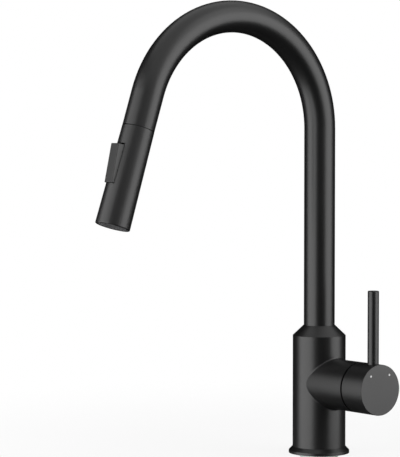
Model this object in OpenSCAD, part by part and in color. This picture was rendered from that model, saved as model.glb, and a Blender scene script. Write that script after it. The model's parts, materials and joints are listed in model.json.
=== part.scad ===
// Pull-out kitchen mixer tap: round column, swan-neck spout, docked spray head, side valve.
// The origin is the centre of the base ring's underside, on the worktop. +Z is up, the spout
// reaches towards -Y and the valve branch with its lever stands out towards +X.

/* [Column] */
// Diameter of the column
col_d = 48; // [46:0.5:54]
// Height of the straight column above the worktop
col_h = 107; // [104:1:130]
// Height of the cone that closes the column round the spout
cone_h = 9.2; // [7:0.1:14]
// Wall round the swivel socket
socket_wall = 4; // [3:0.25:5]
// Depth of the swivel socket
socket_depth = 21; // [20:0.5:24]
// Diameter of the passage for the spray hose
passage_d = 14; // [13.4:0.1:14.8]

/* [Base] */
// Diameter of the base ring
base_d = 55; // [53:0.5:60]
// Height of the upright band at the foot of the base ring
base_band = 2.5; // [2.2:0.1:4]
// Height of the base ring
base_h = 5.8; // [5.4:0.1:8]
// Height of the shelf that the column stands on
shelf_h = 5; // [4.2:0.1:5.2]
// Depth of the gasket groove
gasket_t = 1.2; // [0.8:0.1:1.5]
// Width of the gasket
gasket_w = 5; // [3:0.25:6]
// Diameter of the spigot that centres the tap in its hole
spigot_d = 34.5; // [34:0.1:35]
// Length of the spigot below the worktop's face
spigot_l = 4; // [3:0.5:8]
// Wall of the plastic centring ring
spigot_wall = 0.75; // [0.6:0.05:1.2]

/* [Water ports] */
// Radius of the circle that the ports and the stud stand on
port_circle = 11.9; // [11.7:0.05:12.1]
// Tapping diameter of the ports
port_d = 7; // [6:0.1:7.4]
// Depth of the tapped ports
port_depth = 12; // [10:1:20]
// Angle of the two inlet ports from +X
inlet_angle = 40; // [32:1:48]
// Angle of the two outlet ports from +X
outlet_angle = 100; // [94:1:112]
// Diameter of the drilled water ways
way_d = 4.4; // [3:0.1:5]
// Height of the drilled ways off the valve's axis
way_offset = 6; // [5:0.25:7]

/* [Fixing] */
// Thickness of the worktop that is clamped
worktop_t = 40; // [20:1:50]
// Diameter of the fixing stud
stud_d = 6; // [5:0.5:6]
// Depth that the stud is screwed into the column
stud_depth = 14; // [10:1:20]
// Length of stud left free below its nut
stud_tail = 12; // [5:1:30]
// Diameter of the horseshoe washer
horseshoe_d = 50; // [48:1:56]
// Width of the horseshoe's slot
slot_w = 33.6; // [32:0.2:36]
// Thickness of the steel horseshoe
horseshoe_t = 3; // [2:0.25:4]
// Thickness of its rubber pad
pad_t = 2; // [1:0.25:4]
// Width across the flats of the fixing nut
fixing_af = 10; // [9:0.5:11]
// Height of the fixing nut
fixing_h = 12; // [6:1:20]

/* [Spout] */
// Diameter of the spout tube
tube_d = 28; // [27:0.25:30]
// Wall of the spout tube
tube_wall = 1.5; // [1.2:0.1:1.8]
// Height of the upright part of the tube above the worktop
riser_top = 294; // [220:1:340]
// Radius of the bend at the tube's middle
bend_r = 98; // [80:1:120]
// Angle of the bend
bend_angle = 162; // [150:1:175]
// Straight length from the bend to the spray head
nose_l = 32; // [32:0.5:60]
// Height of the collar brazed to the tube
collar_h = 8; // [7.5:0.25:9]
// Swing of the spout to each side
swing = 60; // [30:5:75]

/* [Swivel] */
// Thickness of the lower slide ring
slide_t = 2; // [1.5:0.1:2.5]
// Wall of the upper slide bush
bush_wall = 2; // [1.5:0.1:2.5]
// Thickness of the thrust washer
washer_t = 1.4; // [1:0.1:1.6]
// Diameter of the swivel stop screw
stop_d = 5; // [4:0.25:5.5]

/* [Spray head] */
// Length of the spray head
head_l = 86.8; // [84:0.5:110]
// Diameter of the head at its spray end
head_end_d = 30.2; // [30.2:0.2:34]
// Wall of the head at its dock
head_wall = 1.6; // [1.2:0.1:1.8]
// Open line between the spout and the docked head
dock_gap = 0.4; // [0.3:0.05:0.8]
// Diameter of the docking spigot on the head
dock_d = 21.6; // [20.8:0.1:22]
// Length of the docking spigot
dock_l = 9.5; // [7:0.5:12]
// Diameter of the waterway body behind the rocker
core_d = 17.2; // [16.8:0.1:18]
// Diameter of the check valve
check_d = 13; // [11:0.25:13.4]
// Length of the check valve
check_l = 11; // [9:0.5:12]

/* [Rocker] */
// Width of the rocker
rocker_w = 11; // [10.6:0.1:12]
// Length of the rocker
rocker_l = 33.8; // [30:0.1:36]
// Distance from the head's top to the rocker's pin
rocker_at = 34.5; // [34:0.25:40]
// Height of the rocker's level face over the head
rocker_proud = 3.2; // [2.4:0.1:4]
// Depth of the rocker's pin below the face of the head
pin_depth = 6.3; // [6.2:0.05:6.8]
// Tilt of the rocker to each side
rocker_tilt = 5.75; // [3:0.25:6]
// Wall of the rocker's skirt
skirt_wall = 1.3; // [1:0.1:1.5]
// Diameter of the rocker's pin
rocker_pin_d = 2; // [1.5:0.1:2.2]
// Diameter of the diverter spool
spool_d = 8.4; // [7.6:0.1:8.6]

/* [Spray plate] */
// Thickness of the spray plate
plate_t = 2.5; // [1.5:0.1:3]
// Depth of the plate inside the head's rim
plate_recess = 0.7; // [0.4:0.1:1.5]
// Thickness of the nozzle mat
mat_t = 1.7; // [1.2:0.1:2.5]
// Diameter of a spray nozzle
nozzle_d = 1.6; // [1:0.1:1.8]
// Nozzles on the outer ring
nozzles_outer = 18; // [12:1:20]
// Nozzles on the inner ring
nozzles_inner = 12; // [8:1:14]
// Diameter of the aerator
aerator_d = 13; // [11:0.5:13.5]
// Length of the aerator
aerator_l = 12; // [9:0.5:13]
// Length of the body that spreads the water over the nozzles
manifold_l = 10; // [9:0.5:12]

/* [Hose] */
// Outer diameter of the spray hose
hose_d = 12.4; // [11.6:0.1:12.6]
// Bore of the spray hose
hose_bore = 8; // [7:0.1:8.4]
// Wall of the crimped ferrules
ferrule_wall = 1.1; // [0.8:0.1:1.3]
// Length of the crimped ferrules
ferrule_l = 12; // [10:0.5:12.5]
// Tapping diameter of the hose screw in the head
hose_screw_d = 13.9; // [13:0.1:14.2]
// Width across the flats of the hose nut
hose_af = 17; // [16:0.25:18]
// Width across the flats of the nut on the hose's tail
tail_af = 12; // [11:0.25:12]
// Thread diameter of the nut on the hose's tail
tail_screw_d = 11.8; // [10.4:0.1:12]

/* [Valve branch] */
// Height of the valve's axis above the worktop
valve_z = 64.5; // [55:0.5:66]
// Diameter of the branch and of the handle cap
branch_d = 45; // [44.5:0.25:47]
// Distance from the column's axis to the end of the branch
branch_end = 55.3; // [55:0.1:58]
// Open line between the branch and the handle cap
cap_gap = 2; // [1.6:0.05:2.2]
// Distance from the column's axis to the handle's front face
cap_face = 83; // [82:0.5:90]
// Depth of the tilt axis behind the end of the branch
pivot_depth = 11.3; // [11.1:0.1:12]

/* [Cartridge] */
// Diameter of the cartridge
cart_d = 34.8; // [34.2:0.1:35]
// Wall of the cartridge housing
cart_wall = 1.8; // [1.5:0.1:2]
// Distance from the column's axis to the cavity's floor
cavity_x = 16; // [14.5:0.25:16]
// Diameter of the threaded mouth of the cavity
mouth_d = 38; // [37.8:0.1:39]
// Thickness of the cartridge base
cart_base_t = 3.2; // [3:0.1:4]
// Thickness of a ceramic disc
disc_t = 3.8; // [3:0.1:4]
// Diameter of the moving disc
disc_d = 24; // [22:0.25:24.4]
// Distance from the tilt axis to the stem's ball
ball_arm = 13.5; // [13:0.1:13.8]
// Diameter of the stem's ball
ball_d = 5.2; // [5:0.1:5.4]
// Side of the square stem
stem_w = 8; // [7:0.1:8.2]
// Diameter of the stem's pin
stem_pin_d = 3; // [2.5:0.1:3.5]
// Diameter of the carrier's neck
neck_d = 24; // [23.6:0.1:24.4]
// Length of the carrier's neck outside the housing
neck_l = 7.3; // [6:0.1:7.6]
// Length of the ring that clamps the cartridge
clamp_l = 8; // [7:0.1:8.4]
// Full tilt of the lever
flow_tilt = 25; // [15:1:25]

/* [Handle] */
// Diameter of the lever rod
lever_d = 10; // [8:0.25:11]
// Distance from the handle's front face back to the rod's axis
lever_back = 9.54; // [8:0.1:9.6]
// Height of the rod's top above the valve's axis
lever_top = 86.95; // [60:1:110]
// Distance from the valve's axis to the rod's inner end
lever_seat = 11; // [10:0.25:13]
// Chamfer on the rod's top
lever_chamfer = 0.5; // [0.2:0.1:1.5]
// Chamfer round the front face
face_chamfer = 0.2; // [0.1:0.1:1.5]
// Diameter of the index dots
dot_d = 1.9; // [1.2:0.1:3]
// Distance of the index dots from the valve's axis
dot_r = 16.8; // [12:0.1:19]
// Angle of the index dots from upright
dot_angle = 40; // [20:1:60]
// Diameter of the handle's grub screw
grub_d = 5; // [4:0.25:5]

/* [Fits] */
// Radial clearance of a running fit
run = 0.05; // [0.02:0.01:0.08]
// Radial clearance of a seated or screwed piece
seat = 0.05; // [0.02:0.01:0.08]
// Free space between pieces that pass each other
free = 0.3; // [0.25:0.05:0.35]
// Clearance between the handle cap and the dome inside it
dome_gap = 0.55; // [0.45:0.05:0.6]

/* [Hidden] */
$fn = 96;
eps = 0.01;
joint_lap = 0.05;

col_r = col_d / 2;
tube_r = tube_d / 2;
tube_bore_r = tube_r - tube_wall;
passage_r = passage_d / 2;
hose_r = hose_d / 2;

// Base
base_r = base_d / 2;
foot_r = spigot_d / 2 - spigot_wall;
ring_bore_r = spigot_d / 2 + seat;
ring_lip_r = col_r + seat;
ring_lip_t = 0.3;
gasket_r = (ring_bore_r + base_r) / 2 - gasket_w / 2;
way_r = way_d / 2;

// Fixing below the worktop
pad_z = -worktop_t - pad_t;
washer_z = pad_z - horseshoe_t;
nut_z = washer_z - fixing_h;
stud_z = nut_z - stud_tail;
slot_x = -(hose_r + 4 * free);

// Swivel in the column's head
socket_r = col_r - socket_wall;
socket_z = col_h - socket_depth;
collar_z = socket_z + slide_t + free;
collar_top = collar_z + collar_h;
thrust_z = collar_top + free;
skirt_z = thrust_z + washer_t;
cone_top = col_h + cone_h;
collar_r = socket_r - free;
bush_r = tube_r + bush_wall;
cone_lip = 1.6;
groove_r = tube_r + (collar_r - tube_r) * 0.45;
stop_z = collar_z + collar_h / 2;
stop_half_angle = asin(stop_d / 2 / groove_r) + 1;

// Bend and nose of the spout
bend_end_y = -bend_r * (1 - cos(bend_angle));
bend_end_z = riser_top + bend_r * sin(bend_angle);

// Spray head, measured along its axis from the end of the bend
nose_end = nose_l - dock_gap / 2;
head_top = nose_l + dock_gap / 2;
head_end = head_top + head_l;
head_top_r = tube_r + run;
head_end_r = head_end_d / 2;
head_bore_r = tube_r - head_wall;
dock_r = dock_d / 2;
insert_bore_r = dock_r + free;
insert_l = 19;
core_r = core_d / 2;
core_flange_t = 5.4;
core_top = head_top + 0.4 - dock_l;
core_flange_end = head_top + core_flange_t;
screw_l = 10.2;
screw_end = core_top + screw_l;
seal_t = 0.8;
check_z = screw_end + seal_t;
check_end = check_z + check_l;
hose_screw_r = hose_screw_d / 2;
screw_mouth = 1.5;
nut_hex_h = 8.5;
hose_nut_z = core_top - screw_mouth - nut_hex_h;
ferrule_end = hose_nut_z - 0.4;
ferrule_z = ferrule_end - ferrule_l;
ferrule_floor = 2;
ferrule_bore_r = hose_r + run;
ferrule_r = ferrule_bore_r + ferrule_wall;
stub_r = hose_bore / 2 - 0.1;
stub_bore_r = stub_r - 1.1;

// Rocker and diverter
rocker_z = head_top + rocker_at;
head_mid_r = head_top_r + (head_end_r - head_top_r) * rocker_at / head_l;
pin_y = head_mid_r - pin_depth;
face_y = head_mid_r + rocker_proud;
rocker_plate = 2.4;
skirt_y = pin_y + 1;
boss_half = 2.2;
boss_drop = 1.7;
bay_half = rocker_l / 2 + 1.9;
bay_y = pin_y - 2.2;
window_half = rocker_l / 2 + 0.9;
lug_x = rocker_w / 2 + free;
lug_t = 1.5;
lug_half = 2.4;
lug_top = pin_y + 1.6;
rocker_pin_r = rocker_pin_d / 2;
prong_r = 1.5;
prong_t = 2;
prong_in = 2.4;
prong_out = 4;
fork_clear = 0.1;
spool_r = spool_d / 2;
spool_neck_r = prong_in - 0.4;
spool_land = 4.5;
spool_rod_r = 2.4;
spool_shift = -pin_y * sin(rocker_tilt);
spool_stroke = pin_y * rocker_tilt * 2 * PI / 180;
spool_half = 14;
slot_half_z = 7;
side_way_x = 6.4;
side_way_r = 1.4;

// Spray end
plate_end = head_end - plate_recess;
plate_z = plate_end - plate_t;
mat_z = plate_z - mat_t;
rim_r = head_end_r - 1.5;
rim_z = mat_z - 1;
plate_r = rim_r - seat;
aerator_r = aerator_d / 2;
aerator_z = plate_end - 0.2 - aerator_l;
manifold_end = mat_z - 0.1;
core_end = manifold_end - manifold_l;
core_low_flange = core_end - 5.4;
nozzle_ring_out = plate_r - 2;
nozzle_ring_in = (nozzle_ring_out + aerator_r) / 2;
nozzle_r = nozzle_d / 2;

// Hose below the worktop: its end is slim enough to pass down through the column
tail_z = stud_z - 3;
tail_end = tail_z - ferrule_l;
tail_ferrule_r = passage_r - 0.1;

// Valve branch and cartridge, measured along the branch from the column's axis
branch_r = branch_d / 2;
pivot_x = branch_end - pivot_depth;
ball_x = pivot_x - ball_arm;
cart_r = cart_d / 2;
cavity_r = cart_r + 0.2;
mouth_r = mouth_d / 2;
cart_bore_r = cart_r - cart_wall;
base_x = cavity_x + 0.3;
fixed_x = base_x + cart_base_t + 0.1;
moving_x = fixed_x + disc_t + run;
driver_x = moving_x + disc_t - 0.3;
driver_t = 2.6;
boss_top = ball_x + ball_d / 2 + 0.4;
carrier_x = boss_top + 0.5;
ball_r = ball_d / 2;
pocket_r = ball_r + free;
driver_boss_r = pocket_r + 2.4;
lip_x = pivot_x - 4;
lip_t = 2.7;
housing_end = lip_x + lip_t;
carrier_top = housing_end + neck_l;
carrier_r = cart_bore_r - run - 0.05;
neck_r = neck_d / 2;
nut_x = housing_end + 0.1;
dome_x = nut_x + clamp_l + 0.2;
nut_bore_r = neck_r + 1;
disc_stroke = ball_arm * flow_tilt * PI / 180;
disc_shift = disc_stroke / 2;
disc_r = disc_d / 2;
slot_half = 0.4 * stem_w + (pivot_x - carrier_x) * tan(flow_tilt) + 1.7;
stem_neck_r = 1.7;
seal_ring_r = way_r + 0.8;
seal_cord_r = 0.9;

// Sphere that the handle cap turns round
rim_sphere = norm([pivot_depth, branch_r]);
cap_sphere = rim_sphere + dome_gap;
dome_sphere = rim_sphere - 0.1;
dome_in_sphere = rim_sphere - 2.7;
dome_r = mouth_r + 0.5;
dome_hole_r = (dome_sphere * cos(flow_tilt) * tan(flow_tilt)) + stem_w / 2 + 1;
dome_flange_t = 1.5;
cap_x = branch_end + cap_gap;

// Handle
lever_x = cap_face - lever_back;
lever_r = lever_d / 2;
stem_end = cap_face - 5.5;
grub_l = 10;
plug_l = 3;
plug_r = grub_d / 2 + 0.8;
dot_depth = 0.8;

// Upright ring from z0 to z1
module ring(r_out, r_in, z0, z1) {
    translate([0, 0, z0])
        difference() {
            cylinder(r = r_out, h = z1 - z0);
            translate([0, 0, -1]) cylinder(r = r_in, h = z1 - z0 + 2);
        }
}

// Upright round bar from z0 to z1
module bar(r, z0, z1) {
    translate([0, 0, z0]) cylinder(r = r, h = z1 - z0);
}

// Upright hexagonal bar from z0 to z1, by its width across the flats
module hex_bar(af, z0, z1) {
    translate([0, 0, z0]) cylinder(d = af / cos(30), h = z1 - z0, $fn = 6);
}

// Frame along the valve's axis: local z is the distance from the column's axis
module along_branch() {
    translate([0, 0, valve_z]) rotate([0, 90, 0]) children();
}

// Frame along the spray head: local z runs down the head, local y points to its outer side
module along_head() {
    translate([0, bend_end_y, bend_end_z]) rotate([bend_angle, 0, 0]) children();
}

// Pipe along the spout's path: up the riser from z0, round the bend and down the nose.
// The straight lengths are a hair thicker than the bend and reach a little way into it.
module spout_pipe(r_out, r_in, z0, nose) {
    ring(r_out + eps, r_in - eps, z0, riser_top + joint_lap);
    translate([0, -bend_r, riser_top]) rotate([90, 0, 90])
        rotate_extrude(angle = bend_angle) translate([bend_r, 0])
            difference() {
                circle(r = r_out);
                circle(r = r_in);
            }
    along_head() ring(r_out + eps, r_in - eps, -joint_lap, nose);
}

// Places one child at each water way: the inlets low and wide apart, the outlets high
module at_ways() {
    for (side = [-1, 1]) {
        translate([way_offset, side * port_circle * sin(inlet_angle), 0]) children();
        translate([-way_offset, side * port_circle * sin(outlet_angle), 0]) children();
    }
}

// Water way from a port in the foot up to a height, then along +X to the valve's cavity
module water_way(angle, z) {
    x = port_circle * cos(angle);
    y = port_circle * sin(angle);
    translate([x, y, 0]) bar(port_d / 2, -spigot_l - 1, port_depth - spigot_l);
    translate([x, y, 0]) bar(way_r, 0, z);
    translate([x, y, z]) sphere(r = way_r);
    translate([x, y, z]) rotate([0, 90, 0]) cylinder(r = way_r, h = cavity_x - x + 1);
}

// Casting: column, foot and valve branch
module body_column() {
    color([0.12, 0.12, 0.12])
    difference() {
        union() {
            bar(col_r, shelf_h, col_h);
            bar(foot_r, -spigot_l, shelf_h + 1);
            along_branch() bar(branch_r, 0, branch_end);
        }
        bar(passage_r, -spigot_l - 1, col_h + 1);
        bar(socket_r, socket_z, col_h + 1);
        along_branch() {
            bar(cavity_r, cavity_x, branch_end + 1);
            bar(mouth_r, housing_end - 1, branch_end + 1);
        }
        for (side = [-1, 1]) {
            water_way(side * inlet_angle, valve_z - way_offset);
            water_way(side * outlet_angle, valve_z + way_offset);
        }
        translate([-port_circle, 0, 0]) bar(stud_d / 2 + seat, -spigot_l - 1, stud_depth - spigot_l);
        translate([0, 0, stop_z]) rotate([-90, 0, 0]) cylinder(r = stop_d / 2 + seat, h = col_r + 1);
    }
}

// Chamfered ring under the column
module base_ring() {
    color([0.12, 0.12, 0.12])
    difference() {
        rotate_extrude()
            polygon([[ring_bore_r, 0], [base_r - 0.1, 0], [base_r, 0.1], [base_r, base_band],
                     [ring_lip_r + ring_lip_t, base_h], [ring_lip_r, base_h],
                     [ring_lip_r, shelf_h], [ring_bore_r, shelf_h]]);
        ring(gasket_r + gasket_w, gasket_r, -1, gasket_t);
    }
}

// Flat gasket, flush with the ring's underside
module base_gasket() {
    color([0.2, 0.2, 0.2])
        ring(gasket_r + gasket_w - seat, gasket_r + seat, 0, gasket_t - seat);
}

// Plastic sleeve that centres the foot in the worktop's hole
module centring_ring() {
    color([0.75, 0.75, 0.73])
        ring(spigot_d / 2, foot_r + seat, -spigot_l, 0);
}

// Screwed cone that holds the spout's collar down
module gland_cone() {
    color([0.12, 0.12, 0.12])
    difference() {
        union() {
            bar(socket_r - seat, skirt_z, col_h);
            translate([0, 0, col_h])
                cylinder(r1 = col_r, r2 = tube_r + run + 0.25, h = cone_h);
        }
        bar(tube_r + run + 0.1, skirt_z - 1, cone_top + 1);
        bar(bush_r, skirt_z - 1, cone_top - cone_lip - bush_wall);
    }
}

// Plastic bush between the cone and the tube
module upper_bush() {
    color([0.85, 0.85, 0.82])
        ring(bush_r - seat, tube_r + run, skirt_z, cone_top - cone_lip - bush_wall - seat);
}

// Plastic ring under the spout's collar
module lower_slide_ring() {
    color([0.85, 0.85, 0.82])
        ring(socket_r - seat, passage_r + 1, socket_z, socket_z + slide_t);
}

// Washer between the collar and the cone
module thrust_washer() {
    color([0.8, 0.8, 0.78])
        ring(socket_r - seat, tube_r + free, thrust_z, skirt_z);
}

// Grub screw in the column's back that stops the swing in the collar's groove
module swivel_stop_screw() {
    color([0.6, 0.6, 0.6])
    translate([0, 0, stop_z]) rotate([-90, 0, 0])
        difference() {
            bar(stop_d / 2, groove_r + 0.5, col_r - 0.6);
            hex_bar(2.5, col_r - 3.1, col_r);
        }
}

// Stud that pulls the tap down
module fixing_stud() {
    color([0.78, 0.78, 0.74])
    translate([-port_circle, 0, 0]) bar(stud_d / 2, stud_z, stud_depth - spigot_l - 1);
}

// Outline of the horseshoe: a disc with a slot open towards +X and a hole for the stud
module horseshoe(z, t) {
    translate([0, 0, z])
    difference() {
        cylinder(d = horseshoe_d, h = t);
        translate([slot_x, -slot_w / 2, -1]) cube([horseshoe_d, slot_w, t + 2]);
        translate([-port_circle, 0, -1]) cylinder(r = stud_d / 2 + 0.2, h = t + 2);
    }
}

// Rubber pad against the worktop's underside
module horseshoe_pad() {
    color([0.15, 0.15, 0.15]) horseshoe(pad_z, pad_t);
}

// Steel horseshoe
module horseshoe_washer() {
    color([0.75, 0.75, 0.74]) horseshoe(washer_z, horseshoe_t);
}

// Long nut on the stud
module fixing_nut() {
    color([0.8, 0.68, 0.35])
    translate([-port_circle, 0, 0])
        difference() {
            rotate([0, 0, 30]) hex_bar(fixing_af, nut_z, washer_z);
            bar(stud_d / 2 + seat, nut_z - 1, washer_z + 1);
        }
}

// Plastic base of the cartridge with its four ports and seal grooves
module cartridge_base() {
    color([0.85, 0.85, 0.85])
    along_branch()
        difference() {
            bar(cart_r, base_x, base_x + cart_base_t);
            at_ways() {
                bar(way_r, base_x - 1, fixed_x + 1);
                ring(seal_ring_r + seal_cord_r + 0.1, way_r - eps, base_x - 1,
                     cavity_x + 2 * seal_cord_r + 0.15);
            }
        }
}

// O-rings between the cartridge and the cavity's floor
module port_seals() {
    color([0.1, 0.1, 0.1])
    along_branch() at_ways()
        translate([0, 0, cavity_x + seal_cord_r + run])
            rotate_extrude() translate([seal_ring_r, 0]) circle(r = seal_cord_r);
}

// Cartridge housing with the lip that holds the carrier
module cartridge_housing() {
    color([0.9, 0.9, 0.9])
    along_branch() {
        ring(cart_r, cart_bore_r, base_x + cart_base_t, lip_x + eps);
        ring(cart_r, neck_r + free, lip_x, housing_end);
    }
}

// Fixed ceramic disc
module fixed_disc() {
    color([0.95, 0.95, 0.92])
    along_branch()
        difference() {
            bar(cart_bore_r - seat, fixed_x, fixed_x + disc_t);
            at_ways() bar(way_r - 0.4, fixed_x - 1, fixed_x + disc_t + 1);
        }
}

// Threaded ring that clamps the cartridge, with four spanner slots
module cartridge_nut() {
    color([0.8, 0.68, 0.35])
    along_branch()
        difference() {
            ring(mouth_r - seat, nut_bore_r, nut_x, nut_x + clamp_l);
            for (turn = [0, 90])
                rotate([0, 0, turn]) translate([-mouth_r, -1.5, nut_x + clamp_l - 2.5])
                    cube([2 * mouth_r, 3, 4]);
        }
}

// Domed cover inside the handle cap
module dome_cover() {
    color([0.3, 0.3, 0.3])
    along_branch() {
        ring(mouth_r - seat, mouth_r - 1.7, dome_x, branch_end + eps);
        ring(dome_r, mouth_r - 1.7, branch_end, branch_end + dome_flange_t);
        difference() {
            intersection() {
                translate([0, 0, pivot_x]) sphere(r = dome_sphere);
                bar(dome_r, branch_end + eps, cap_face);
            }
            translate([0, 0, pivot_x]) sphere(r = dome_in_sphere);
            bar(dome_hole_r, branch_end - 1, cap_face);
        }
    }
}

// Crimped end of the hose: sleeve, floor and stub, opening towards -Z
module ferrule(r_out, z0, z1, stub_end) {
    ring(r_out, ferrule_bore_r, z0, z1 - ferrule_floor + eps);
    ring(r_out, stub_bore_r, z1 - ferrule_floor, z1);
    ring(stub_r, stub_bore_r, z0, stub_end);
}

// Crimped lower end of the spray hose
module hose_tail_ferrule() {
    color([0.78, 0.78, 0.78])
    mirror([0, 0, 1])
        ferrule(tail_ferrule_r, -tail_z, -tail_end, -tail_end + nut_hex_h + screw_l);
}

// Screwed nut on the hose's lower end
module hose_tail_nut() {
    color([0.8, 0.68, 0.35])
        difference() {
            union() {
                hex_bar(tail_af, tail_end - 0.4 - nut_hex_h, tail_end - 0.4);
                bar(tail_screw_d / 2, tail_end - nut_hex_h - screw_l, tail_end - 1);
            }
            bar(stub_r + 0.2, tail_end - nut_hex_h - screw_l - 1, tail_end);
        }
}

// Swan-neck tube
module spout_tube() {
    color([0.12, 0.12, 0.12])
        spout_pipe(tube_r, tube_bore_r, collar_z, nose_end);
}

// Collar brazed to the tube's foot, with the groove that the stop screw runs in
module spout_collar() {
    color([0.8, 0.68, 0.35])
    difference() {
        ring(collar_r, tube_r + seat, collar_z, collar_top);
        translate([0, 0, stop_z - stop_d / 2 - free])
            rotate([0, 0, 90 - swing - stop_half_angle])
                rotate_extrude(angle = 2 * (swing + stop_half_angle))
                    translate([groove_r, 0]) square([socket_r, stop_d + 2 * free]);
    }
}

// Plastic guide in the spout's mouth that the head docks in
module docking_insert() {
    color([0.3, 0.3, 0.3])
    along_head()
        difference() {
            bar(tube_bore_r - seat, nose_end - insert_l, nose_end - 0.3);
            bar(insert_bore_r, nose_end - insert_l - 1, nose_end);
            translate([0, 0, nose_end - 2.3])
                cylinder(r1 = insert_bore_r, r2 = insert_bore_r + 1, h = 2.01);
        }
}

// Spray hose, from the head down through the column
module spray_hose() {
    color([0.7, 0.7, 0.7])
        spout_pipe(hose_r, hose_bore / 2, tail_end + ferrule_floor + 0.2,
                   ferrule_end - ferrule_floor - 0.2);
}

// Tapered shell of the spray head with the rocker's window
module head_shell() {
    color([0.12, 0.12, 0.12])
    along_head()
        difference() {
            rotate_extrude()
                polygon([[head_bore_r, head_top], [head_top_r, head_top],
                         [head_end_r, head_end - 0.6], [head_end_r - 0.6, head_end],
                         [rim_r, head_end], [rim_r, rim_z], [head_bore_r, rim_z]]);
            translate([-rocker_w / 2 - free, bay_y, rocker_z - window_half])
                cube([rocker_w + 2 * free, head_end_r, 2 * window_half]);
        }
}

// Waterway body: docking spigot, check valve pocket, spool bore and rocker lugs
module head_core() {
    color([0.25, 0.25, 0.25])
    along_head()
        difference() {
            union() {
                difference() {
                    union() {
                        bar(dock_r, core_top, core_flange_end);
                        bar(head_bore_r - seat, head_top + 0.4, core_flange_end);
                        bar(core_r, core_flange_end - 1, core_end);
                        bar(head_bore_r - seat, core_low_flange, core_end);
                    }
                    translate([-core_r, bay_y, rocker_z - bay_half])
                        cube([core_d, core_r, 2 * bay_half]);
                }
                for (side = [0, 1])
                    mirror([side, 0, 0]) translate([lug_x, 2, rocker_z - lug_half])
                        cube([lug_t, lug_top - 2, 2 * lug_half]);
            }
            bar(hose_screw_r, core_top - 1, screw_end);
            bar(check_d / 2 + seat, screw_end - 1, check_end);
            bar(spool_r + run, check_end - 1, core_end + 1);
            for (side = [-1, 1])
                translate([side * side_way_x, 0, 0])
                    bar(side_way_r, check_end - 2, core_end + 1);
            translate([-prong_out - 0.4, -spool_r, rocker_z - slot_half_z])
                cube([2 * prong_out + 0.8, core_d, 2 * slot_half_z]);
            translate([0, pin_y, rocker_z]) rotate([0, 90, 0])
                cylinder(r = rocker_pin_r + seat, h = core_d + 2, center = true);
        }
}

// Screwed nut that joins the hose to the head
module hose_nut() {
    color([0.8, 0.68, 0.35])
    along_head()
        difference() {
            union() {
                hex_bar(hose_af, hose_nut_z, hose_nut_z + nut_hex_h);
                bar(hose_screw_r - seat, hose_nut_z + 1, screw_end - 0.1);
            }
            bar(stub_r + 0.2, hose_nut_z - 1, screw_end + 1);
        }
}

// Crimped upper end of the spray hose
module hose_ferrule() {
    color([0.78, 0.78, 0.78])
    along_head() ferrule(ferrule_r, ferrule_z, ferrule_end, screw_end - 0.4);
}

// Sealing washer with its sieve
module filter_washer() {
    color([0.2, 0.2, 0.2])
    along_head() {
        ring(check_d / 2, stub_r, screw_end, check_z - 0.05);
        for (turn = [0, 90])
            rotate([0, 0, turn]) translate([-stub_r - 0.5, -0.3, screw_end + 0.2])
                cube([2 * stub_r + 1, 0.6, 0.3]);
    }
}

// Bought-in check valve: body, spokes and poppet
module check_valve() {
    color([0.2, 0.45, 0.75])
    along_head() {
        ring(check_d / 2, check_d / 2 - 1.6, check_z, check_end - 0.1);
        bar(2.6, check_z + 2, check_end - 3);
        for (turn = [0, 60, 120])
            rotate([0, 0, turn]) translate([-check_d / 2 + 1, -0.5, check_z + 3])
                cube([check_d - 2, 1, 2]);
    }
}

// Pin that the rocker turns on
module rocker_pin() {
    color([0.75, 0.75, 0.75])
    along_head() translate([0, pin_y, rocker_z]) rotate([0, 90, 0])
        cylinder(r = rocker_pin_r, h = 2 * (lug_x + lug_t) - 0.2, center = true);
}

// Body that leads the water to the aerator or to the nozzles
module spray_manifold() {
    color([0.4, 0.4, 0.4])
    along_head()
        difference() {
            bar(head_bore_r - seat, core_end + 0.1, manifold_end);
            bar(aerator_r + seat, aerator_z - 0.1, manifold_end + 1);
            bar(spool_rod_r + 1, core_end, manifold_end);
            ring(nozzle_ring_out + 0.6, nozzle_ring_in - 1, manifold_end - 2, manifold_end + 1);
        }
}

// Places one child at each nozzle
module at_nozzles() {
    for (i = [0 : nozzles_outer - 1])
        rotate([0, 0, i * 360 / nozzles_outer]) translate([nozzle_ring_out, 0, 0]) children();
    for (i = [0 : nozzles_inner - 1])
        rotate([0, 0, i * 360 / nozzles_inner]) translate([nozzle_ring_in, 0, 0]) children();
}

// Soft mat whose nozzles stand through the plate
module nozzle_mat() {
    color([0.45, 0.45, 0.45])
    along_head()
        difference() {
            union() {
                ring(plate_r - 0.2, aerator_r + seat, mat_z, plate_z - 0.05);
                at_nozzles() bar(nozzle_r, mat_z + 0.5, plate_end + 0.4);
            }
            at_nozzles() bar(nozzle_r / 2, mat_z - 1, plate_end + 1);
        }
}

// Plate at the spray end
module spray_plate() {
    color([0.5, 0.5, 0.5])
    along_head()
        difference() {
            bar(plate_r, plate_z, plate_end);
            bar(aerator_r + seat, plate_z - 1, plate_end + 1);
            at_nozzles() bar(nozzle_r + 0.1, plate_z - 1, plate_end + 1);
        }
}

// Aerator with its honeycomb end
module aerator() {
    color([0.7, 0.7, 0.7])
    along_head()
        difference() {
            bar(aerator_r, aerator_z, plate_end - 0.2);
            for (ix = [-2 : 2], iy = [-2 : 2])
                if (norm([ix, iy]) * 2.2 < aerator_r - 1.4)
                    translate([ix * 2.2, iy * 2.2, 0]) bar(0.85, aerator_z - 1, plate_end);
        }
}

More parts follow.
